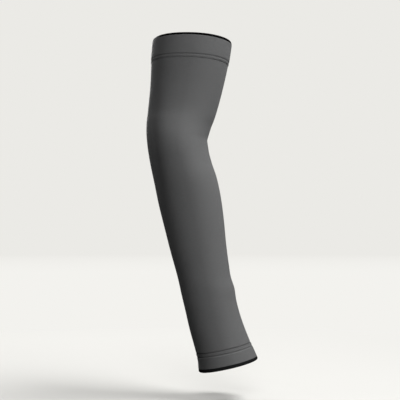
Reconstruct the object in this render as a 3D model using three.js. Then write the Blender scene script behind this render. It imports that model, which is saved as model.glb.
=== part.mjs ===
// A compression arm sleeve in the form it takes on a slightly bent arm: a fine-knit tube from the upper arm
// to the wrist, a folded hem cuff over each end, and a black elastic grip band inside each cuff, whose beaded
// edge shows at the rim.
// Millimetres, +Z up, +X towards the inside of the elbow, Y across the arm.
// The origin is on the arm's axis, in the middle of the upper grip band.
import * as THREE from 'three';

// Driving sizes.
const CLOTH = 1.0; // one ply of the knit, and the elastic
const PLY_GAP = 0.3; // clear space between one ply and the next
const AROUND = 38; // sides of every ring
const ROW_RINGS = 2; // rings of the tube for each row of SECTIONS
const HEM_RINGS = 3; // steps along a cuff or a grip band
const ROLL_STEPS = 3; // facets in a quarter turn of a rolled edge
const STEP_LENGTH = 3.0; // how quickly the tube comes back out past a cuff's stitched edge
const BEAD_INSET = 0.3; // the bead lies this far inside the cuff's outer face
const FOLDED_EDGE = 0.3; // bevel of a cuff's stitched edge
const BACK_FULLNESS = 2.3; // exponent of the oval on the elbow side, 2 is an ellipse
const FRONT_FULLNESS = 1.95; // the same on the side of the elbow crease

// The two ends. edge: height of the black bead. hem: from the bead's edge to the cuff's stitched edge.
// grip: from the bead's edge to the end of the grip band. proud: how far the cuff stands out of the tube.
const UPPER = { edge: 2.4, hem: 28, grip: 22, proud: 0.7 };
const LOWER = { edge: 3.6, hem: 21, grip: 17, proud: 0.3 };

// One row for each section of the sleeve, from the upper edge down to the lower edge.
// back is the point on the elbow side, front the point on the crease side, halfDepth the half size along Y.
const SECTIONS = [
  { at: 'upper edge', backX: -46.0, backZ: 15.5, frontX: 47.5, frontZ: 13.5, halfDepth: 44.0 },
  { at: 'cuff edge', backX: -48.0, backZ: -10.5, frontX: 43.5, frontZ: -12.5, halfDepth: 42.2 },
  { at: 'upper arm', backX: -49.3, backZ: -40.5, frontX: 35.9, frontZ: -46.5, halfDepth: 38.7 },
  { at: 'lower biceps', backX: -52.0, backZ: -69.5, frontX: 27.8, frontZ: -75.5, halfDepth: 38.2 },
  { at: 'above elbow', backX: -53.5, backZ: -84.0, frontX: 22.7, frontZ: -90.0, halfDepth: 40.6 },
  { at: 'elbow', backX: -53.5, backZ: -98.5, frontX: 20.7, frontZ: -103.0, halfDepth: 43.0 },
  { at: 'below elbow', backX: -51.5, backZ: -117.0, frontX: 20.4, frontZ: -116.0, halfDepth: 43.7 },
  { at: 'forearm top', backX: -48.5, backZ: -134.0, frontX: 23.5, frontZ: -129.5, halfDepth: 42.5 },
  { at: 'forearm swell', backX: -44.0, backZ: -155.0, frontX: 29.3, frontZ: -147.0, halfDepth: 40.5 },
  { at: 'forearm full', backX: -39.0, backZ: -179.0, frontX: 34.1, frontZ: -169.0, halfDepth: 37.0 },
  { at: 'forearm middle', backX: -32.0, backZ: -207.0, frontX: 37.7, frontZ: -195.5, halfDepth: 33.3 },
  { at: 'forearm low', backX: -24.5, backZ: -236.0, frontX: 40.5, frontZ: -225.0, halfDepth: 30.2 },
  { at: 'above wrist', backX: -18.0, backZ: -259.0, frontX: 43.5, frontZ: -249.0, halfDepth: 28.4 },
  { at: 'wrist waist', backX: -14.5, backZ: -273.0, frontX: 46.0, frontZ: -264.5, halfDepth: 27.9 },
  { at: 'wrist bump', backX: -12.0, backZ: -284.5, frontX: 50.0, frontZ: -277.0, halfDepth: 27.4 },
  { at: 'below bump', backX: -8.0, backZ: -301.0, frontX: 52.5, frontZ: -292.5, halfDepth: 26.8 },
  { at: 'wrist flare', backX: -2.5, backZ: -324.5, frontX: 58.2, frontZ: -313.0, halfDepth: 26.0 },
  { at: 'lower hem', backX: 4.0, backZ: -348.0, frontX: 66.4, frontZ: -334.8, halfDepth: 26.6 },
  { at: 'hem middle', backX: 7.3, backZ: -361.0, frontX: 72.0, frontZ: -347.5, halfDepth: 28.2 },
  { at: 'lower edge', backX: 8.4, backZ: -374.3, frontX: 77.3, frontZ: -359.2, halfDepth: 30.0 },
];

// The crease on the inside of the elbow, at a distance down the sleeve. It fades over length along the sleeve
// and over spread, in radians, round it. A sharpness of 2 is a smooth trough, less is more of a fold.
const CREASE = { distance: 117.3, depth: 2.2, length: 9.3, spread: 0.85, sharpness: 1.5 };

// Smooth lines through the table's columns. Their parameter runs from 0 at the first row to 1 at the last.
const smoothLine = (pick) => new THREE.CatmullRomCurve3(SECTIONS.map(pick), false, 'centripetal');
const backLine = smoothLine((row) => new THREE.Vector3(row.backX, 0, row.backZ));
const frontLine = smoothLine((row) => new THREE.Vector3(row.frontX, 0, row.frontZ));
const depthLine = smoothLine((row) => new THREE.Vector3(row.halfDepth, 0, row.backZ));

// The oval section at one place down the sleeve.
function sectionAt(place) {
  const back = backLine.getPoint(place);
  const front = frontLine.getPoint(place);
  const across = front.clone().sub(back);
  return {
    centre: back.clone().add(front).multiplyScalar(0.5),
    across: across.clone().normalize(),
    halfWidth: across.length() / 2,
    halfDepth: depthLine.getPoint(place).x,
  };
}

// Distance down the middle of the sleeve from the upper edge, at many places, to set the hems out in mm.
const TAPE_STEPS = 400;
const tape = [0];
for (let i = 1; i <= TAPE_STEPS; i++) {
  const from = sectionAt((i - 1) / TAPE_STEPS).centre;
  const to = sectionAt(i / TAPE_STEPS).centre;
  tape.push(tape[i - 1] + from.distanceTo(to));
}
const LENGTH = tape[TAPE_STEPS];

// The place down the sleeve that lies at a distance from the upper edge.
function placeAt(distance) {
  const after = tape.findIndex((mark) => mark > distance);
  if (after < 0) return 1;
  const i = Math.max(after, 1) - 1;
  const share = (distance - tape[i]) / (tape[i + 1] - tape[i]);
  return (i + share) / TAPE_STEPS;
}

// A point of a section, at an angle from the crease side, moved out of the tube's outer face by offset.
function pointOn(section, angle, offset) {
  const c = Math.cos(angle);
  const s = Math.sin(angle);
  const power = c > 0 ? FRONT_FULLNESS : BACK_FULLNESS;
  const u = Math.sign(c) * Math.abs(c) ** (2 / power);
  const v = Math.sign(s) * Math.abs(s) ** (2 / power);
  const normal = new THREE.Vector2(
    (Math.sign(u) * Math.abs(u) ** (power - 1)) / section.halfWidth,
    (Math.sign(v) * Math.abs(v) ** (power - 1)) / section.halfDepth,
  ).normalize();
  const alongWidth = u * section.halfWidth + normal.x * offset;
  const alongDepth = v * section.halfDepth + normal.y * offset;
  return section.centre
    .clone()
    .addScaledVector(section.across, alongWidth)
    .add(new THREE.Vector3(0, alongDepth, 0));
}

// How deep the crease is at one point of the form.
function creaseAt(distance, angle) {
  const down = Math.abs(distance - CREASE.distance) / CREASE.length;
  const round = Math.atan2(Math.sin(angle), Math.cos(angle)) / CREASE.spread;
  return CREASE.depth * Math.exp(-(down ** CREASE.sharpness) - round ** 2);
}

// A closed wall: the outline of its cut, as { distance, offset } points, swept round the sleeve.
function sweepWall(outline) {
  const positions = [];
  for (const { distance, offset } of outline) {
    const section = sectionAt(placeAt(distance));
    for (let k = 0; k < AROUND; k++) {
      const angle = (2 * Math.PI * k) / AROUND;
      positions.push(...pointOn(section, angle, offset - creaseAt(distance, angle)).toArray());
    }
  }
  const index = [];
  for (let j = 0; j < outline.length; j++) {
    const jNext = (j + 1) % outline.length;
    for (let k = 0; k < AROUND; k++) {
      const kNext = (k + 1) % AROUND;
      const a = j * AROUND + k;
      const b = jNext * AROUND + k;
      const c = jNext * AROUND + kNext;
      const d = j * AROUND + kNext;
      index.push(a, b, c, a, c, d);
    }
  }
  const geometry = new THREE.BufferGeometry();
  geometry.setAttribute('position', new THREE.Float32BufferAttribute(positions, 3));
  geometry.setIndex(index);
  geometry.computeVertexNormals();
  return geometry;
}

// Where the plies of an end lie. Distances are from that end's edge, offsets from the tube's outer face.
function pliesOf(end) {
  const rim = end.edge + PLY_GAP;
  const cuffIn = end.proud - CLOTH;
  const tubeOut = cuffIn - PLY_GAP;
  const tubeIn = tubeOut - CLOTH;
  const gripOut = tubeIn - PLY_GAP;
  return { rim, tubeEnd: rim + CLOTH + PLY_GAP, cuffIn, tubeOut, tubeIn, gripOut, gripIn: gripOut - CLOTH };
}

// Even steps from one value to another, both ends included.
function stepsBetween(from, to, count) {
  return Array.from({ length: count + 1 }, (_, i) => THREE.MathUtils.lerp(from, to, i / count));
}

// A stretch of an outline at a fixed offset.
function run(from, to, offset) {
  return stepsBetween(from, to, HEM_RINGS).map((distance) => ({ distance, offset }));
}

// An arc in the cut's plane, from one angle to another. Angle 0 points out of the sleeve, 90 degrees down it.
function arc(distance, offset, radius, fromDeg, toDeg, count) {
  return stepsBetween(fromDeg, toDeg, count).map((degrees) => {
    const angle = THREE.MathUtils.degToRad(degrees);
    return { distance: distance + radius * Math.sin(angle), offset: offset + radius * Math.cos(angle) };
  });
}

// A cuff: one ply over the tube, rolled in over the tube's cut end at the rim.
function cuffOutline(end) {
  const { rim, cuffIn, tubeIn } = pliesOf(end);
  return [
    { distance: rim, offset: tubeIn },
    ...arc(rim + CLOTH, cuffIn, CLOTH, -90, 0, ROLL_STEPS),
    ...run(rim + CLOTH, end.hem - FOLDED_EDGE, end.proud).slice(1),
    { distance: end.hem, offset: end.proud - FOLDED_EDGE },
    ...run(end.hem, rim + CLOTH, cuffIn),
    { distance: rim + CLOTH, offset: tubeIn },
  ];
}

// A grip band: a round bead that shows past the rim, and a flat tail against the inside of the tube.
function gripOutline(end) {
  const { gripOut, gripIn } = pliesOf(end);
  const radius = end.edge / 2;
  const bevel = radius / 2;
  return [
    ...arc(radius, end.proud - BEAD_INSET - radius, radius, -90, 90, 2 * ROLL_STEPS),
    ...run(end.edge, end.grip, gripOut),
    ...run(end.grip, bevel, gripIn),
    { distance: 0, offset: gripIn + bevel },
  ];
}

// An outline turned end for end, so that its distances are from the lower edge.
const fromLower = (outline) =>
  outline.map(({ distance, offset }) => ({ distance: LENGTH - distance, offset })).reverse();

// How far the tube is drawn in under the cuffs, at a distance from the upper edge.
function tubeOffset(distance) {
  const drawIn = (end, fromEdge) => {
    const out = THREE.MathUtils.smoothstep(fromEdge, end.hem + PLY_GAP, end.hem + PLY_GAP + STEP_LENGTH);
    return pliesOf(end).tubeOut * (1 - out);
  };
  return drawIn(UPPER, distance) + drawIn(LOWER, LENGTH - distance);
}

// Distances where the tube has a ring: under the cuffs, at its steps past them, and for each row of SECTIONS.
function tubeMarks() {
  const upperStep = UPPER.hem + PLY_GAP;
  const lowerStep = LENGTH - LOWER.hem - PLY_GAP;
  const rings = ROW_RINGS * (SECTIONS.length - 1);
  const plain = stepsBetween(0, TAPE_STEPS, rings).map((mark) => tape[Math.round(mark)]);
  const clear = plain.filter(
    (mark) => mark > upperStep + 2 * STEP_LENGTH && mark < lowerStep - 2 * STEP_LENGTH,
  );
  return [
    ...stepsBetween(pliesOf(UPPER).tubeEnd, upperStep, HEM_RINGS),
    ...stepsBetween(upperStep, upperStep + STEP_LENGTH, HEM_RINGS).slice(1),
    ...clear,
    ...stepsBetween(lowerStep - STEP_LENGTH, lowerStep, HEM_RINGS),
    ...stepsBetween(lowerStep, LENGTH - pliesOf(LOWER).tubeEnd, HEM_RINGS).slice(1),
  ];
}

// The tube's wall: down its outer face, then back up its inner face.
function tubeOutline() {
  const down = tubeMarks().map((distance) => ({ distance, offset: tubeOffset(distance) }));
  const up = down.map(({ distance, offset }) => ({ distance, offset: offset - CLOTH }));
  return [...down, ...up.reverse()];
}

const knit = new THREE.MeshStandardMaterial({ color: '#5e5e5f', roughness: 0.85, metalness: 0 });
const hemKnit = new THREE.MeshStandardMaterial({ color: '#626263', roughness: 0.85, metalness: 0 });
const elastic = new THREE.MeshStandardMaterial({ color: '#0a0a0b', roughness: 0.7, metalness: 0 });

// A named piece of the sleeve.
function piece(name, outline, material) {
  const mesh = new THREE.Mesh(sweepWall(outline), material);
  mesh.name = name;
  return mesh;
}

const sleeve = new THREE.Group();
sleeve.name = 'arm_sleeve';
sleeve.add(
  piece('sleeve_tube', tubeOutline(), knit),
  piece('upper_cuff', cuffOutline(UPPER), hemKnit),
  piece('lower_cuff', fromLower(cuffOutline(LOWER)), hemKnit),
  piece('upper_grip_band', gripOutline(UPPER), elastic),
  piece('lower_grip_band', fromLower(gripOutline(LOWER)), elastic),
);

export default sleeve;
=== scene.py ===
import math

import bpy
import numpy as np
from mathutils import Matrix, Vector


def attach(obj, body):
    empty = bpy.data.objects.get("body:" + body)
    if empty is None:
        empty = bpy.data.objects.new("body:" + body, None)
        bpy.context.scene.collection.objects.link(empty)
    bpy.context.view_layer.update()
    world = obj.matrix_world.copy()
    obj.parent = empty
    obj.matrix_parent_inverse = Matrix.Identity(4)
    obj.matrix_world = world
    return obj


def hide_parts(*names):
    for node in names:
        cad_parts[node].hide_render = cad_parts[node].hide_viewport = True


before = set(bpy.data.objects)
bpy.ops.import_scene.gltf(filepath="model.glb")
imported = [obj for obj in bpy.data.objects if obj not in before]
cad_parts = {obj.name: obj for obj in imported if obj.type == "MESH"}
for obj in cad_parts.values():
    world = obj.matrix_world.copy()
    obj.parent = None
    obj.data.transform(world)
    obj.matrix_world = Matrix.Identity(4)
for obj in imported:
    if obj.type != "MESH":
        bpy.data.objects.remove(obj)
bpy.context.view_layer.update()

fullTurn = 2 * math.pi
perMetre = 1000  # the form below is in mm
markDigits = 3  # marks on the sleeve are kept to a thousandth of a mm
quadCorners = ((0, 0), (1, 0), (1, 1), (0, 1))  # a face's corners, in steps along and round


# the arm that the cloth is shaped on, from the upper edge down to the wrist
sleeveForm = {
    "sections": [  # back x, back z, front x, front z, half depth
        (-46.0, 15.5, 47.5, 13.5, 44.0),  # upper edge
        (-48.0, -10.5, 43.5, -12.5, 42.2),  # cuff edge
        (-49.3, -40.5, 35.9, -46.5, 38.7),  # upper arm
        (-52.0, -69.5, 27.8, -75.5, 38.2),  # lower biceps
        (-53.5, -84.0, 22.7, -90.0, 40.6),  # above elbow
        (-53.5, -98.5, 20.7, -103.0, 43.0),  # elbow
        (-51.5, -117.0, 20.4, -116.0, 43.7),  # below elbow
        (-48.5, -134.0, 23.5, -129.5, 42.5),  # forearm top
        (-44.0, -155.0, 29.3, -147.0, 40.5),  # forearm swell
        (-39.0, -179.0, 34.1, -169.0, 37.0),  # forearm full
        (-32.0, -207.0, 37.7, -195.5, 33.3),  # forearm middle
        (-24.5, -236.0, 40.5, -225.0, 30.2),  # forearm low
        (-18.0, -259.0, 43.5, -249.0, 28.4),  # above wrist
        (-14.5, -273.0, 46.0, -264.5, 27.9),  # wrist waist
        (-12.0, -284.5, 50.0, -277.0, 27.4),  # wrist bump
        (-8.0, -301.0, 52.5, -292.5, 26.8),  # below bump
        (-2.5, -324.5, 58.2, -313.0, 26.0),  # wrist flare
        (4.0, -348.0, 66.4, -334.8, 26.6),  # lower hem
        (7.3, -361.0, 72.0, -347.5, 28.2),  # hem middle
        (8.4, -374.3, 77.3, -359.2, 30.0),  # lower edge
    ],
    "dents": [  # mm down the sleeve, radians round it, depth, how far it fades down and round
        (117.3, 0.0, 2.2, 9.3, 0.85),  # elbow crease
        (136.0, 2.55, 2.0, 52.0, 0.29),  # hollow beside the elbow
        (136.0, -2.55, 2.0, 52.0, 0.29),  # the same on the other side
    ],
    "dentSharpness": 1.5,
    "tuck": 0.6,  # at both ends of the oval the upper edge turns in by this much
    "tuckReach": 4.0,
    "backFullness": 2.3,  # 2 is an ellipse, more is squarer
    "frontFullness": 1.95,
    "tapeSteps": 400,  # down the sleeve
    "turnSteps": 2880,  # round it
    "cloth": 1.0,  # one ply
    "plyGap": 0.3,
}
formTable = np.array(sleeveForm["sections"])


def smoothStep(x, low, high):
    t = np.clip((x - low) / (high - low), 0, 1)
    return t * t * (3 - 2 * t)


def weighed(first, second, share):  # so much of the first, the rest of the second
    return first * share + second * (1 - share)


# smooth line through points, 0 at the first and 1 at the last
def lineThrough(points, place):
    last = len(points) - 2
    ends = np.vstack([2 * points[0] - points[1], points, 2 * points[-1] - points[-2]])
    step = np.clip(place, 0, 1) * (last + 1)
    i = np.minimum(step.astype(int), last)
    w = (step - i)[:, None]
    p0, p1, p2, p3 = (ends[i + k] for k in range(4))
    spans = (p1 - p0, p2 - p1, p3 - p2)
    d0, d1, d2 = (np.sqrt(np.linalg.norm(span, axis=1))[:, None] for span in spans)
    t1 = ((p1 - p0) / d0 - (p2 - p0) / (d0 + d1) + (p2 - p1) / d1) * d1
    t2 = ((p2 - p1) / d1 - (p3 - p1) / (d1 + d2) + (p3 - p2) / d2) * d1
    return p1 + t1 * w + (3 * (p2 - p1) - 2 * t1 - t2) * w**2 + (2 * (p1 - p2) + t1 + t2) * w**3


def ovalAt(place):
    back = lineThrough(formTable[:, 0:2], place)
    front = lineThrough(formTable[:, 2:4], place)
    halfDepth = lineThrough(formTable[:, [4, 1]], place)[:, 0]
    across = front - back
    width = np.linalg.norm(across, axis=1)
    return (back + front) / 2, across / width[:, None], width / 2, halfDepth


def runAlong(points):  # the length run up to each point of a line
    return np.append(0, np.cumsum(np.linalg.norm(np.diff(points, axis=0), axis=1)))


# a tape down the middle of the sleeve
tapePlaces = np.linspace(0, 1, sleeveForm["tapeSteps"] + 1)
tapeMarks = runAlong(ovalAt(tapePlaces)[0])
sleeveLength = tapeMarks[-1]


def dentAt(distance, turn):
    depth = np.zeros_like(distance)
    for place, angle, deep, length, spread in sleeveForm["dents"]:
        down = np.abs(distance - place) / length
        aside = np.arctan2(np.sin(turn - angle), np.cos(turn - angle)) / spread
        depth += deep * np.exp(-(down ** sleeveForm["dentSharpness"]) - aside**2)
    edge = 1 - smoothStep(distance, 0, sleeveForm["tuckReach"])
    return depth + sleeveForm["tuck"] * edge * np.cos(turn) ** 2


# points in metres, from mm down the sleeve, radians round it and mm out of the tube's face
def onSleeve(distance, turn, offset):
    distance, turn, offset = np.broadcast_arrays(distance, turn, offset)
    shape = distance.shape
    distance, turn, offset = distance.ravel().astype(float), turn.ravel(), offset.ravel()
    offset = offset - dentAt(distance, turn)
    middle, across, halfWidth, halfDepth = ovalAt(np.interp(distance, tapeMarks, tapePlaces))
    c, s = np.cos(turn), np.sin(turn)
    power = np.where(c > 0, sleeveForm["frontFullness"], sleeveForm["backFullness"])
    u = np.sign(c) * np.abs(c) ** (2 / power)
    v = np.sign(s) * np.abs(s) ** (2 / power)
    outX = np.sign(u) * np.abs(u) ** (power - 1) / halfWidth
    outY = np.sign(v) * np.abs(v) ** (power - 1) / halfDepth
    size = np.hypot(outX, outY)
    alongWidth = u * halfWidth + outX / size * offset
    alongDepth = v * halfDepth + outY / size * offset
    x = middle[:, 0] + across[:, 0] * alongWidth
    z = middle[:, 1] + across[:, 1] * alongWidth
    return (np.stack([x, alongDepth, z], axis=1) / perMetre).reshape(*shape, 3)


# turns that are evenly spaced round the sleeve, the first one repeated at the end, and the girth there
def evenTurns(distance, count):
    fine = np.linspace(0, fullTurn, sleeveForm["turnSteps"] + 1)
    run = runAlong(onSleeve(distance, fine, 0.0))
    return np.interp(np.linspace(0, run[-1], count + 1), run, fine), run[-1]


def meshPiece(name, points, faces, material, uv):
    mesh = bpy.data.meshes.new(name)
    mesh.from_pydata(points.reshape(-1, 3).tolist(), [], faces)
    mesh.polygons.foreach_set("use_smooth", np.ones(len(mesh.polygons), dtype=bool))
    mesh.uv_layers.new(name="cloth").uv.foreach_set("vector", uv.astype(np.float32).ravel())
    mesh.materials.append(material)
    mesh.update()
    piece = bpy.data.objects.new(name, mesh)
    bpy.context.scene.collection.objects.link(piece)
    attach(piece, "root")
    return piece


# an outline of (distance, offset) points swept round the sleeve into a closed wall
def sweptWall(name, outline, around, material, relief):
    rings = len(outline)
    distance, offset = outline[:, :1], outline[:, 1:]
    turns, girth = evenTurns(np.median(distance), around)
    down, out = relief(distance, offset, turns[None, :-1])
    points = onSleeve(distance + down, turns[None, :-1], offset + out)
    j, k = np.meshgrid(np.arange(rings), np.arange(around), indexing="ij")
    faces = np.stack([(j + p) % rings * around + (k + q) % around for p, q in quadCorners], axis=-1)
    # u is the share of a turn, v the metres run along the outline
    run = runAlong(np.vstack([outline, outline[:1]])) / perMetre
    uv = np.stack([np.stack([(k + q) / around, run[j + p]], axis=-1) for p, q in quadCorners], axis=-2)
    piece = meshPiece(name, points, faces.reshape(-1, 4).tolist(), material, uv)
    print(f"{name}: {rings} rings of {around}, {girth * perMetre:.0f} mm round")
    return piece


def arcOutline(distance, offset, radius, fromDegrees, toDegrees, count):
    angle = np.radians(np.linspace(fromDegrees, toDegrees, count + 1))
    return np.stack([distance + radius * np.sin(angle), offset + radius * np.cos(angle)], axis=1)


def flatOutline(marks, offset):
    return np.stack([marks, np.full(len(marks), offset)], axis=1)


# shader maths: a wire is an output socket that can be used in sums
class Wire:
    def __init__(self, shader, socket):
        self.shader = shader
        self.socket = socket

    def maths(self, operation, *values):
        return self.shader.node("ShaderNodeMath", {"operation": operation}, dict(enumerate(values)))

    def __add__(self, other):
        return self.maths("ADD", self, other)

    def __sub__(self, other):
        return self.maths("SUBTRACT", self, other)

    def __rsub__(self, other):
        return self.maths("SUBTRACT", other, self)

    def __mul__(self, other):
        return self.maths("MULTIPLY", self, other)

    def __truediv__(self, other):
        return self.maths("DIVIDE", self, other)

    def __rtruediv__(self, other):
        return self.maths("DIVIDE", other, self)

    def __pow__(self, other):
        return self.maths("POWER", self, other)

    def __rpow__(self, other):
        return self.maths("POWER", other, self)

    def __abs__(self):
        return self.maths("ABSOLUTE", self)

    __radd__ = __add__
    __rmul__ = __mul__

    def wave(self):  # 0 to 1, one wave for each whole number
        return self.maths("SINE", self * fullTurn) * 0.5 + 0.5

    def share(self):  # what is past the last whole number
        return self.maths("FRACT", self)

    def part(self, name):
        return Wire(self.shader, self.socket.node.outputs[name])


class Shader:
    def __init__(self, tree):
        self.tree = tree
        tree.nodes.clear()

    # settings are set first, then the sockets take values or wires
    def node(self, kind, settings=None, sockets=None, output=0):
        made = self.tree.nodes.new(kind)
        for key, value in (settings or {}).items():
            setattr(made, key, value)
        for key, value in (sockets or {}).items():
            if isinstance(value, Wire):
                self.tree.links.new(value.socket, made.inputs[key])
            else:
                made.inputs[key].default_value = value
        return Wire(self, made.outputs[output]) if len(made.outputs) else None

    def clothPlace(self):  # u and v as the mesh has them
        place = self.node("ShaderNodeUVMap", {"uv_map": "cloth"})
        u = self.node("ShaderNodeSeparateXYZ", {}, {0: place})
        return u, u.part("Y")

    def objectPlace(self):
        return self.node("ShaderNodeTexCoord", output="Object")

    def blend(self, share, low, high):
        return self.node("ShaderNodeMix", {"data_type": "RGBA"}, {0: share, 6: low, 7: high}, 2)

    def noise(self, place, scale, detail):
        return self.node("ShaderNodeTexNoise", {}, {"Vector": place, "Scale": scale, "Detail": detail})

    def stretched(self, place, scale):
        return self.node("ShaderNodeVectorMath", {"operation": "MULTIPLY"}, {0: place, 1: scale})

    def ramp(self, value, low, high):  # 0 up to low, 1 from high on
        return self.node("ShaderNodeMapRange", {}, {0: value, 1: low, 2: high})

    def surface(self, colour, roughness, height, look):
        bump = {"Strength": look["bump"], "Distance": look["bumpHeight"], "Height": height}
        normal = self.node("ShaderNodeBump", {}, bump)
        skin = {"Base Color": colour, "Roughness": roughness, "Normal": normal}
        shine = self.node("ShaderNodeBsdfPrincipled", {}, {**skin, **look["fixed"]})
        self.node("ShaderNodeOutputMaterial", {}, {"Surface": shine})


def newMaterial(name):
    material = bpy.data.materials.new(name)
    material.use_nodes = True
    return material, Shader(material.node_tree)


def grey(value, warmth=0.0):
    return (value * (1 + warmth), value, value * (1 - warmth), 1.0)


# fine jersey: columns of V loops, a little heather in the yarn, and painted shade where the loops sink
# between wales
def jersey(name, look):
    material, shader = newMaterial(name)
    u, v = shader.clothPlace()
    wale = u * look["wales"]
    course = v / look["course"]
    side = abs(wale.share() * 2 - 1)  # 0 down the middle of a wale, 1 between two
    leg = 1 - abs(side * 2 - 1)
    loop = (course + side * look["slant"]).wave()
    height = leg ** look["legFullness"] * weighed(loop, 1, look["loopShare"])
    place = shader.objectPlace()
    heather = shader.noise(shader.stretched(place, look["heather"]), scale=1.0, detail=2.0)
    cloud = shader.noise(place, look["cloud"], detail=1.0)
    tone = 0.5 + (heather - 0.5) * look["heatherDepth"] + (cloud - 0.5) * look["cloudDepth"]
    # painted shade: the colour darkens where the loops sink, following the bump's height
    tone = tone + (height - 0.5) * look["loopShadeDepth"]
    colour = shader.blend(tone, look["dark"], look["light"])
    roughness = look["roughness"] + (heather - 0.5) * look["heatherRoughness"]
    shader.surface(colour, roughness - height * look["loopPolish"], height, look)
    return material


knitLook = {
    "dark": grey(0.062, -0.006),
    "light": grey(0.142, -0.006),
    "wales": 470.0,  # columns of loops round the sleeve
    "course": 0.00046,  # height of a row of loops
    "slant": 0.5,
    "legFullness": 0.6,
    "loopShare": 0.55,  # of a leg's height that changes along its loop
    "heather": (260.0, 260.0, 900.0),  # streaks lie along the rows
    "heatherDepth": 0.22,
    "cloud": 45.0,
    "cloudDepth": 0.06,
    # painted shade between the loops, as a share of the tone
    "loopShadeDepth": 0.16,
    "roughness": 0.80,
    "heatherRoughness": 0.12,
    "loopPolish": 0.04,
    "bump": 0.55,
    "bumpHeight": 0.00009,
    "fixed": {"Sheen Weight": 0.08, "Sheen Roughness": 0.45, "Specular IOR Level": 0.25},
}
hemLook = {**knitLook, "dark": grey(0.060, -0.006), "light": grey(0.136, -0.006), "course": 0.00044}


# black elastic, ribbed across its edge, with painted shade in the grooves between ribs and a painted
# lightening of the tail inside the tube
def ribbedElastic(name, look):
    material, shader = newMaterial(name)
    u, v = shader.clothPlace()
    rib = (u * look["ribs"]).wave()
    warp = (v / look["warp"]).wave()
    lint = shader.noise(shader.objectPlace(), look["lint"], detail=3.0)
    height = weighed(rib, warp, look["ribShare"])
    # painted shade: the edge's colour darkens in the grooves between ribs, mixed with the lint's own
    # random tone
    edge = shader.blend(weighed(height, lint, look["edgeShadeShare"]), look["dark"], look["light"])
    # painted light: the tail inside the tube is lighter than the edge, so its ribs show in the shade
    # there
    tail = shader.blend(weighed(height, lint, look["tailShadeShare"]), look["tailPaintedFillDark"], look["tailPaintedFillLight"])
    inside = (v - look["tailFrom"]) / look["tailFade"]
    colour = shader.blend(inside, edge, tail)
    roughness = look["roughness"] + (lint - 0.5) * look["lintRoughness"]
    shader.surface(colour, roughness, height, look)
    return material


elasticLook = {
    "dark": grey(0.0008),
    "light": grey(0.0020, -0.03),
    # painted light: lighter colours of the same elastic for the tail, so it shows in the shade inside
    # the tube
    "tailPaintedFillDark": grey(0.004),
    "tailPaintedFillLight": grey(0.016, -0.02),
    "tailFrom": 0.012,  # metres along the band's outline
    "tailFade": 0.004,
    "ribs": 356.0,
    "warp": 0.0009,
    "ribShare": 0.6,  # ribs against warp
    "edgeShadeShare": 0.5,  # painted rib shade against lint, on the edge and on the tail
    "tailShadeShare": 0.6,
    "lint": 900.0,
    "roughness": 0.72,
    "lintRoughness": 0.2,
    "bump": 0.4,
    "bumpHeight": 0.0001,
    "fixed": {"Specular IOR Level": 0.015},
}


# spun thread, twisted along each stitch, with painted shade in the twist's grooves
def sewingThread(name, look):
    material, shader = newMaterial(name)
    u, v = shader.clothPlace()  # here along a stitch and round it
    ply = (u * look["twists"] + v).wave()
    fuzz = shader.noise(shader.objectPlace(), look["fuzz"], detail=2.0)
    # painted shade: the colour darkens in the twist's grooves, mixed with the fuzz's own random tone
    colour = shader.blend(weighed(ply, fuzz, look["plyShadeShare"]), look["dark"], look["light"])
    roughness = look["roughness"] + (fuzz - 0.5) * look["fuzzRoughness"]
    shader.surface(colour, roughness, ply, look)
    return material


threadLook = {
    "dark": grey(0.058),
    "light": grey(0.122),
    "twists": 4.0,  # in one stitch
    "plyShadeShare": 0.6,  # painted twist shade against fuzz
    "fuzz": 2500.0,
    "roughness": 0.7,
    "fuzzRoughness": 0.2,
    "bump": 0.5,
    "bumpHeight": 0.00006,
    "fixed": {"Sheen Weight": 0.05, "Specular IOR Level": 0.3},
}

knit = jersey("grey_jersey", knitLook)
hemKnit = jersey("grey_hem_jersey", hemLook)
elastic = ribbedElastic("black_elastic", elasticLook)
thread = sewingThread("grey_thread", threadLook)
print("materials made")


# the two ends, in mm from each end's edge
# a stitch row has its place, the depth of its sewn channel and the channel's half width past the row
upperEnd = {
    "name": "upper",
    "edge": 2.4,  # height of the black bead
    "hem": 28.0,  # to the cuff's stitched edge
    "grip": 22.0,  # to the end of the band's tail
    "proud": 0.7,  # the cuff's face stands out of the tube's
    "around": 624,  # points round the cuff
    "stitchRows": ((24.5, 0.50, 1.7), (27.2, 0.40, 0.75)),
    "stitches": 104,
    "thinning": 3.8,  # the cuff thins over this much of its stitched edge
    "edgeDrop": 0.45,  # from its face
    "edgeLift": 0.20,  # and from its underside
    "tubeRise": (-0.8, 0.7),  # the tube comes out from under the cuff here, from its stitched edge
    "ribs": 356,  # of the elastic, round its edge
    "rollOver": 2.3,  # on the elbow side the cuff rises over the bead
    "rollIn": 0.8,  # and the bead rolls in behind it
    "frontShow": 0.55,  # on the other side more of the bead shows
}
lowerEnd = {
    "name": "lower",
    "edge": 3.6,
    "hem": 21.0,
    "grip": 17.0,
    "proud": 0.3,
    "around": 450,
    "stitchRows": ((17.1, 0.60, 0.75), (20.1, 0.16, 0.75)),
    "stitches": 75,
    "thinning": 2.0,
    "edgeDrop": 0.20,
    "edgeLift": 0.45,
    "tubeRise": (-0.5, 1.9),
    "ribs": 256,
    "rollOver": 0.0,
    "rollIn": 0.0,
    "frontShow": 0.0,
}
bothEnds = (upperEnd, lowerEnd)


def pliesOf(end):
    rim = end["edge"] + sleeveForm["plyGap"]
    cuffIn = end["proud"] - sleeveForm["cloth"]
    tubeOut = cuffIn - sleeveForm["plyGap"]
    tubeIn = tubeOut - sleeveForm["cloth"]
    gripOut = tubeIn - sleeveForm["plyGap"]
    return {"rim": rim, "cuffIn": cuffIn, "tubeOut": tubeOut, "tubeIn": tubeIn, "gripOut": gripOut}


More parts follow.
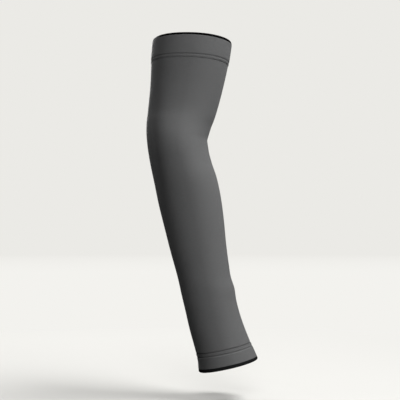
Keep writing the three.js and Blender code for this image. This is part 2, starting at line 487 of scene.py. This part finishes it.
# from mm down the sleeve to mm from an end's edge, and back again
def measure(end, distance):
    return distance if end is upperEnd else sleeveLength - distance


# an end's outline in mm down the sleeve, turned over at the lower end so that its faces still look out
def placed(end, outline):
    moved = np.stack([measure(end, outline[:, 0]), outline[:, 1]], axis=1)
    return moved if end is upperEnd else moved[::-1]


# the knit tube, drawn in under the cuffs
tubePiece = {
    "around": 200,
    "outerStep": 1.7,
    "innerStep": 3.4,
    "hemStretch": (-1.0, 6.0),  # beside a hem's edge the rings are closer
    "hemRings": 26,
    "puckerDepth": 0.10,  # little pulls of the stitching in the cloth beside a hem
    "puckerStart": 2.0,
    "puckerReach": 7.0,
    "puckerWaves": (61, 83, 104),
    "puckerSeed": 11,
}


def tubeOffset(distance):
    offset = np.zeros_like(distance)
    for end in bothEnds:
        low, high = (end["hem"] + reach for reach in end["tubeRise"])
        offset += pliesOf(end)["tubeOut"] * (1 - smoothStep(measure(end, distance), low, high))
    return offset


def tubeMarks(step):
    inCuff = sleeveForm["cloth"] + sleeveForm["plyGap"]
    first, last = (measure(end, pliesOf(end)["rim"] + inCuff + end["frontShow"]) for end in bothEnds)
    plain = np.linspace(first, last, int((last - first) / step))
    beside = np.linspace(*tubePiece["hemStretch"], tubePiece["hemRings"])
    close = [measure(end, end["hem"] + beside) for end in bothEnds]
    return np.unique(np.concatenate([plain, *close]).round(markDigits))


def tubePuckers(distance, offset, turns):
    draw = np.random.default_rng(tubePiece["puckerSeed"])
    relief = np.zeros((len(distance), turns.shape[1]))
    for end in bothEnds:
        past = np.maximum(measure(end, distance) - end["hem"], 0)
        fade = np.exp(-past / tubePiece["puckerReach"]) * smoothStep(past, 0, tubePiece["puckerStart"])
        waves = sum(np.sin(n * turns + draw.uniform(0, fullTurn)) for n in tubePiece["puckerWaves"])
        relief += tubePiece["puckerDepth"] * fade * waves / len(tubePiece["puckerWaves"])
    return 0.0, relief


outerMarks, innerMarks = tubeMarks(tubePiece["outerStep"]), tubeMarks(tubePiece["innerStep"])[::-1]
tubeOutline = np.vstack([
    np.stack([outerMarks, tubeOffset(outerMarks)], axis=1),
    np.stack([innerMarks, tubeOffset(innerMarks) - sleeveForm["cloth"]], axis=1),
])
tube = sweptWall("knit_tube", tubeOutline, tubePiece["around"], knit, tubePuckers)
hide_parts("sleeve_tube")


# a cuff of one ply, rolled over the tube's cut end, with two sewn channels
cuffPiece = {
    "rimRadius": 0.4,
    "rimSteps": 6,
    "edgeBevel": 0.15,
    "bevelSteps": 4,
    "rowStep": 0.9,
    "channelStep": 0.22,
    "channelWidth": 0.75,  # half width of a sewn channel, on the rim's side
    "channelReach": 2.2,  # half widths on both sides that have closer rings
    "leastStep": 0.05,
    "pull": 0.08,  # how much deeper a channel is at each needle hole
    "faceFrom": 0.3,  # share of the ply's thickness, past which a point is on its face
    "rollSpan": (0.25, 0.80),  # radians off the elbow side, between which the rim's rise fades
    "frontSpan": (0.0, 0.8),  # cosine of the turn, between which more of the bead comes to show
    "shiftSpan": (1.0, 6.0),  # mm past the rim, between which the cloth moves less and less with it
}


def cuffMarks(end, fromMark, toMark):
    plain = np.arange(fromMark, toMark, cuffPiece["rowStep"])
    reach = cuffPiece["channelReach"] * cuffPiece["channelWidth"]
    fine = [row + np.arange(-reach, reach, cuffPiece["channelStep"]) for row, _, _ in end["stitchRows"]]
    marks = np.unique(np.concatenate([plain, [fromMark, toMark], *fine]).round(markDigits))
    marks = marks[(marks >= fromMark) & (marks <= toMark)]
    return marks[np.append(True, np.diff(marks) > cuffPiece["leastStep"])]


def cuffOutline(end):
    plies, proud, hem = pliesOf(end), end["proud"], end["hem"]
    bevel, roll = cuffPiece["edgeBevel"], cuffPiece["rimRadius"]
    rim, inner = plies["rim"], plies["rim"] + sleeveForm["cloth"]
    face = cuffMarks(end, inner, hem - bevel)
    under = [*cuffMarks(end, inner, hem)[:1:-2], inner]  # every second mark, back from the stitched edge
    return np.vstack([
        [(rim, plies["tubeIn"])],
        arcOutline(rim + roll, proud - roll, roll, -90, 0, cuffPiece["rimSteps"]),
        flatOutline(face, proud),
        arcOutline(hem - bevel, proud - bevel, bevel, 0, 90, cuffPiece["bevelSteps"])[1:],
        flatOutline(under, plies["cuffIn"]),
        [(inner, plies["tubeIn"])],
    ])


# 1 on the elbow side, 0 elsewhere
def elbowSide(turns):
    return 1 - smoothStep(np.abs(turns - math.pi), *cuffPiece["rollSpan"])


# how far a cuff's rim and the cloth next to it move down the sleeve
def rimShift(end, fromEdge, turns):
    low, high = (pliesOf(end)["rim"] + reach for reach in cuffPiece["shiftSpan"])
    near = 1 - smoothStep(fromEdge, low, high)
    show = end["frontShow"] * smoothStep(np.cos(turns), *cuffPiece["frontSpan"])
    shift = near * (show - end["rollOver"] * elbowSide(turns))
    return shift if end is upperEnd else -shift


def cuffRelief(end, fromEdge, offset, turns):
    plies, cloth = pliesOf(end), sleeveForm["cloth"]
    count = np.arange(turns.shape[1]) / turns.shape[1] * end["stitches"]
    pull = 1 + cuffPiece["pull"] * np.cos(fullTurn * count)
    channels = np.zeros_like(fromEdge)
    for row, depth, past in end["stitchRows"]:
        width = np.where(fromEdge > row, past, cuffPiece["channelWidth"])
        channels += depth * np.exp(-(((fromEdge - row) / width) ** 2))
    thin = smoothStep(fromEdge, end["hem"] - end["thinning"], end["hem"])
    drop = np.maximum(channels * pull, thin * end["edgeDrop"])
    face = offset > plies["cuffIn"] + cloth * cuffPiece["faceFrom"]
    under = (offset == plies["cuffIn"]) & (fromEdge > plies["rim"] + cloth)
    return np.where(face, -drop, np.where(under, thin * end["edgeLift"], 0))


def makeCuff(end):
    def relief(distance, offset, turns):
        fromEdge = measure(end, distance)
        return rimShift(end, fromEdge, turns), cuffRelief(end, fromEdge, offset, turns)

    outline = placed(end, cuffOutline(end))
    piece = sweptWall(f"{end['name']}_hem", outline, end["around"], hemKnit, relief)
    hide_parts(f"{end['name']}_cuff")
    return piece


upperHem, lowerHem = (makeCuff(end) for end in bothEnds)


# the elastic: a ribbed edge past the rim and a flat tail inside the tube
bandPiece = {
    "inset": 0.12,  # from the cuff's face
    "corner": 0.5,  # share of the edge's height that its outer corner takes up
    "cornerSteps": 8,
    "faceSteps": 6,
    "shoulder": 0.15,
    "shoulderSteps": 4,
    "heel": 0.25,  # share of the edge's height that its inner corner takes up
    "heelSteps": 5,
    "rimGap": 0.08,  # under the cuff's rim
    "tailStep": 1.2,
    "samplesPerRib": 4,
    "ribDepth": 0.12,
    "ribFade": (0.55, 0.95),  # shares of the edge's height, between which the ribs fade
    "ribFace": (-0.4, 0.6),  # mm out of the tail's face, between which the ribs grow
    "rollFade": 6.0,  # mm past the edge, over which its roll fades
}


def bandOutline(end):
    edge, grip = end["edge"], end["grip"]
    gripOut = pliesOf(end)["gripOut"]
    gripIn = gripOut - sleeveForm["cloth"]
    face = end["proud"] - bandPiece["inset"]
    top = pliesOf(end)["rim"] - bandPiece["rimGap"]
    corner, heel, shoulder = edge * bandPiece["corner"], edge * bandPiece["heel"], bandPiece["shoulder"]
    tail = np.linspace(top, grip, int((grip - edge) / bandPiece["tailStep"]))
    return np.vstack([
        arcOutline(corner, face - corner, corner, -90, 0, bandPiece["cornerSteps"]),
        flatOutline(np.linspace(corner, top - shoulder, bandPiece["faceSteps"])[1:-1], face),
        arcOutline(top - shoulder, face - shoulder, shoulder, 0, 90, bandPiece["shoulderSteps"]),
        flatOutline(tail, gripOut),
        flatOutline(np.linspace(grip, heel, len(tail)), gripIn),
        arcOutline(heel, gripIn + heel, heel, 180, 270, bandPiece["heelSteps"])[1:],
    ])


def makeBand(end):
    plies, edge, samples = pliesOf(end), end["edge"], bandPiece["samplesPerRib"]

    def relief(distance, offset, turns):
        fromEdge = measure(end, distance)
        rib = 0.5 - 0.5 * np.cos(fullTurn * np.arange(turns.shape[1]) / samples)
        onBead = 1 - smoothStep(fromEdge, *(edge * share for share in bandPiece["ribFade"]))
        outside = smoothStep(offset, *(plies["gripOut"] + reach for reach in bandPiece["ribFace"]))
        rolling = 1 - smoothStep(fromEdge, edge, edge + bandPiece["rollFade"])
        rolled = end["rollIn"] * rolling * elbowSide(turns)
        squeeze = np.clip(fromEdge / plies["rim"], 0, 1)  # the bead gives way to the rim
        out = -bandPiece["ribDepth"] * rib * onBead * outside - rolled
        return rimShift(end, fromEdge, turns) * squeeze, out

    outline = placed(end, bandOutline(end))
    piece = sweptWall(f"{end['name']}_band", outline, end["ribs"] * samples, elastic, relief)
    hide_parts(f"{end['name']}_grip_band")
    return piece


upperBand, lowerBand = (makeBand(end) for end in bothEnds)


# twin-needle stitching: outside, threads that rise out of one needle hole and sink into the next,
# inside, a looper thread that runs from row to row
stitchPiece = {
    "radius": 0.20,
    "thinEnds": 0.7,  # share of the radius that is left in the needle holes
    "uneven": (0.94, 1.06),  # one stitch against another
    "looperRadius": 0.15,
    "sides": 6,
    "steps": 9,
    "fill": 0.90,  # share of the stitch length that the thread shows
    "archFullness": 0.7,
    "sink": 0.34,
    "rise": 0.10,
    "shift": 0.05,
    "feeler": 0.1,  # a step out of the cloth, to find which way is out
}


# thin tubes along lines on the sleeve, one line for each stitch
def threadTubes(distance, turn, offset, radius):
    middle = onSleeve(distance, turn, offset)
    out = onSleeve(distance, turn, offset + stitchPiece["feeler"]) - middle
    along = np.gradient(middle, axis=1)
    side = np.cross(along, out)
    side, out = (way / np.linalg.norm(way, axis=2, keepdims=True) for way in (side, out))
    ring = np.arange(stitchPiece["sides"]) / stitchPiece["sides"] * fullTurn
    spread = np.cos(ring)[:, None] * side[:, :, None] + np.sin(ring)[:, None] * out[:, :, None]
    radius = np.broadcast_to(radius, middle.shape[:2])[:, :, None, None]
    return middle[:, :, None] + radius / perMetre * spread


def needleThreads(end, holes, pitch):
    draw = np.random.default_rng(end["stitches"])
    along = np.linspace(-0.5, 0.5, stitchPiece["steps"])
    arch = np.cos(along * math.pi) ** stitchPiece["archFullness"]
    taper = stitchPiece["radius"] * weighed(1, arch, stitchPiece["thinEnds"])
    turn = holes + pitch * (0.5 + along * stitchPiece["fill"])
    tubes = []
    for row, depth, _ in end["stitchRows"]:
        radius = taper * draw.uniform(*stitchPiece["uneven"], holes.shape)
        place = row + draw.normal(0, stitchPiece["shift"], holes.shape)
        offset = end["proud"] - depth - stitchPiece["sink"] * (1 - arch) + stitchPiece["rise"] * arch
        tubes.append(threadTubes(measure(end, place), turn, offset, radius))
    return tubes


# half a stitch from the first row to the last, and half a stitch back
def looperThreads(end, holes, pitch):
    across = np.linspace(0, 1, stitchPiece["steps"])
    first, last = (row for row, _, _ in end["stitchRows"])
    inside = pliesOf(end)["tubeIn"] - stitchPiece["looperRadius"]
    tubes = []
    for near, far, lead in ((first, last, 0.0), (last, first, 0.5)):
        turn = holes + pitch * (lead + across / 2)
        place = near + (far - near) * across
        tubes.append(threadTubes(measure(end, place), turn, inside, stitchPiece["looperRadius"]))
    return tubes


def makeStitching(end):
    steps, sides = stitchPiece["steps"], stitchPiece["sides"]
    turns, _ = evenTurns(measure(end, end["hem"]), end["stitches"])
    holes, pitch = turns[:-1, None], np.diff(turns)[:, None]
    points = np.concatenate([*needleThreads(end, holes, pitch), *looperThreads(end, holes, pitch)])
    total = len(points)
    rings = np.arange(total * steps * sides).reshape(total, steps, sides)
    caps = rings[:, 0].tolist() + rings[:, -1, ::-1].tolist()
    j, k = np.meshgrid(np.arange(steps - 1), np.arange(sides), indexing="ij")
    walls = np.stack([rings[:, j + p, (k + q) % sides] for p, q in quadCorners], axis=-1).reshape(-1, 4)
    # u is the share of a stitch, v the share of the way round its thread
    wallUv = [np.stack([(j + p) / (steps - 1), (k + q) / sides], axis=-1) for p, q in quadCorners]
    wallUv = np.tile(np.stack(wallUv, axis=-2).reshape(-1, 2), (total, 1))
    uv = np.concatenate([wallUv, np.zeros((len(caps) * sides, 2))])
    piece = meshPiece(f"{end['name']}_stitching", points, walls.tolist() + caps, thread, uv)
    print(f"{piece.name}: {total} threads")
    return piece


upperStitching, lowerStitching = (makeStitching(end) for end in bothEnds)


# pale floor and air, soft light, in metres
studio = {
    "floorHeight": -0.405,
    "floorSize": 12.0,
    "floorSides": 96,
    "floorColour": (0.546, 0.541, 0.521, 1.0),  # under the sleeve, where its shadow falls
    "floorGlow": (0.896, 0.888, 0.856, 1.0),  # the floor past the lamps' reach, evenly pale
    "glowFrom": (0.15, 0.75),
    "fadeFrom": (4.0, 12.0),  # and here it fades into the air
    "airColour": (0.831, 0.823, 0.791, 1.0),  # what the camera sees past the floor
    "airLight": 0.031,  # what reaches the sleeve from all round
    "aim": (0.01, 0.0, -0.18),
    "lampDistance": 1.7,
    "lampSize": 0.9,
    "lamps": [  # name, degrees round from the camera, degrees up, watts
        ("front", 0, 35, 11.4),
        ("topRight", 75, 60, 32.2),
        ("side", 45, 5, 14.8),
        ("rim", -135, 35, 6.4),
        ("behind", -165, 35, 24.0),
    ],
}


def aimAt(thing, target):
    thing.rotation_mode = "QUATERNION"
    thing.rotation_quaternion = (Vector(target) - thing.location).to_track_quat("-Z", "Y")


def makeFloor():
    material, shader = newMaterial("pale_floor")
    place = shader.objectPlace()
    away = shader.node("ShaderNodeVectorMath", {"operation": "LENGTH"}, {0: place}, "Value")
    paint = shader.node("ShaderNodeBsdfDiffuse", {}, {"Color": studio["floorColour"]})
    glow = shader.node("ShaderNodeEmission", {}, {"Color": studio["floorGlow"]})
    even = shader.ramp(away, *studio["glowFrom"])
    ground = shader.node("ShaderNodeMixShader", {}, {0: even, 1: paint, 2: glow})
    under = shader.node("ShaderNodeNewGeometry", output="Backfacing")
    seen = (1 - shader.ramp(away, *studio["fadeFrom"])) * (1 - under)
    clear = shader.node("ShaderNodeBsdfTransparent")
    mixed = shader.node("ShaderNodeMixShader", {}, {0: seen, 1: clear, 2: ground})
    shader.node("ShaderNodeOutputMaterial", {}, {"Surface": mixed})
    sides, size = studio["floorSides"], studio["floorSize"]
    bpy.ops.mesh.primitive_circle_add(vertices=sides, radius=size, fill_type="NGON")
    floor = bpy.context.object
    floor.name = "floor"
    floor.location.z = studio["floorHeight"]
    floor.data.materials.append(material)
    floor.visible_diffuse = False  # its bounce is in airLight
    floor.visible_glossy = False


def makeAir():
    world = bpy.data.worlds.new("studio_air")
    world.use_nodes = True
    bpy.context.scene.world = world
    shader = Shader(world.node_tree)
    seen = shader.node("ShaderNodeLightPath", output="Is Camera Ray")
    air = shader.node("ShaderNodeBackground", {}, {"Color": studio["airColour"], "Strength": 1.0})
    fill = shader.node("ShaderNodeBackground", {}, {"Color": grey(1.0), "Strength": studio["airLight"]})
    mixed = shader.node("ShaderNodeMixShader", {}, {0: seen, 1: fill, 2: air})
    shader.node("ShaderNodeOutputWorld", {}, {"Surface": mixed})


def makeLamps():
    for name, around, up, watts in studio["lamps"]:
        data = bpy.data.lights.new(name, "AREA")
        data.shape = "DISK"
        data.size = studio["lampSize"]
        data.energy = watts
        lamp = bpy.data.objects.new(name, data)
        turn, rise = math.radians(around), math.radians(up)
        way = (math.sin(turn) * math.cos(rise), -math.cos(turn) * math.cos(rise), math.sin(rise))
        lamp.location = Vector(studio["aim"]) + Vector(way) * studio["lampDistance"]
        bpy.context.scene.collection.objects.link(lamp)
        aimAt(lamp, studio["aim"])


cameraView = {
    "place": (0.009776, -0.88, -0.22624),
    "aim": (0.009776, 0.0, -0.174125),
    "lens": 67.24,  # mm, as the sensor is
    "sensor": 36.0,
}


def makeCamera():
    data = bpy.data.cameras.new("camera")
    data.sensor_width = cameraView["sensor"]
    data.lens = cameraView["lens"]
    camera = bpy.data.objects.new("camera", data)
    camera.location = cameraView["place"]
    bpy.context.scene.collection.objects.link(camera)
    aimAt(camera, cameraView["aim"])
    bpy.context.scene.camera = camera


makeFloor()
makeAir()
makeLamps()
makeCamera()
bpy.context.scene.view_settings.view_transform = "Standard"
print("studio made")

bpy.context.view_layer.update()
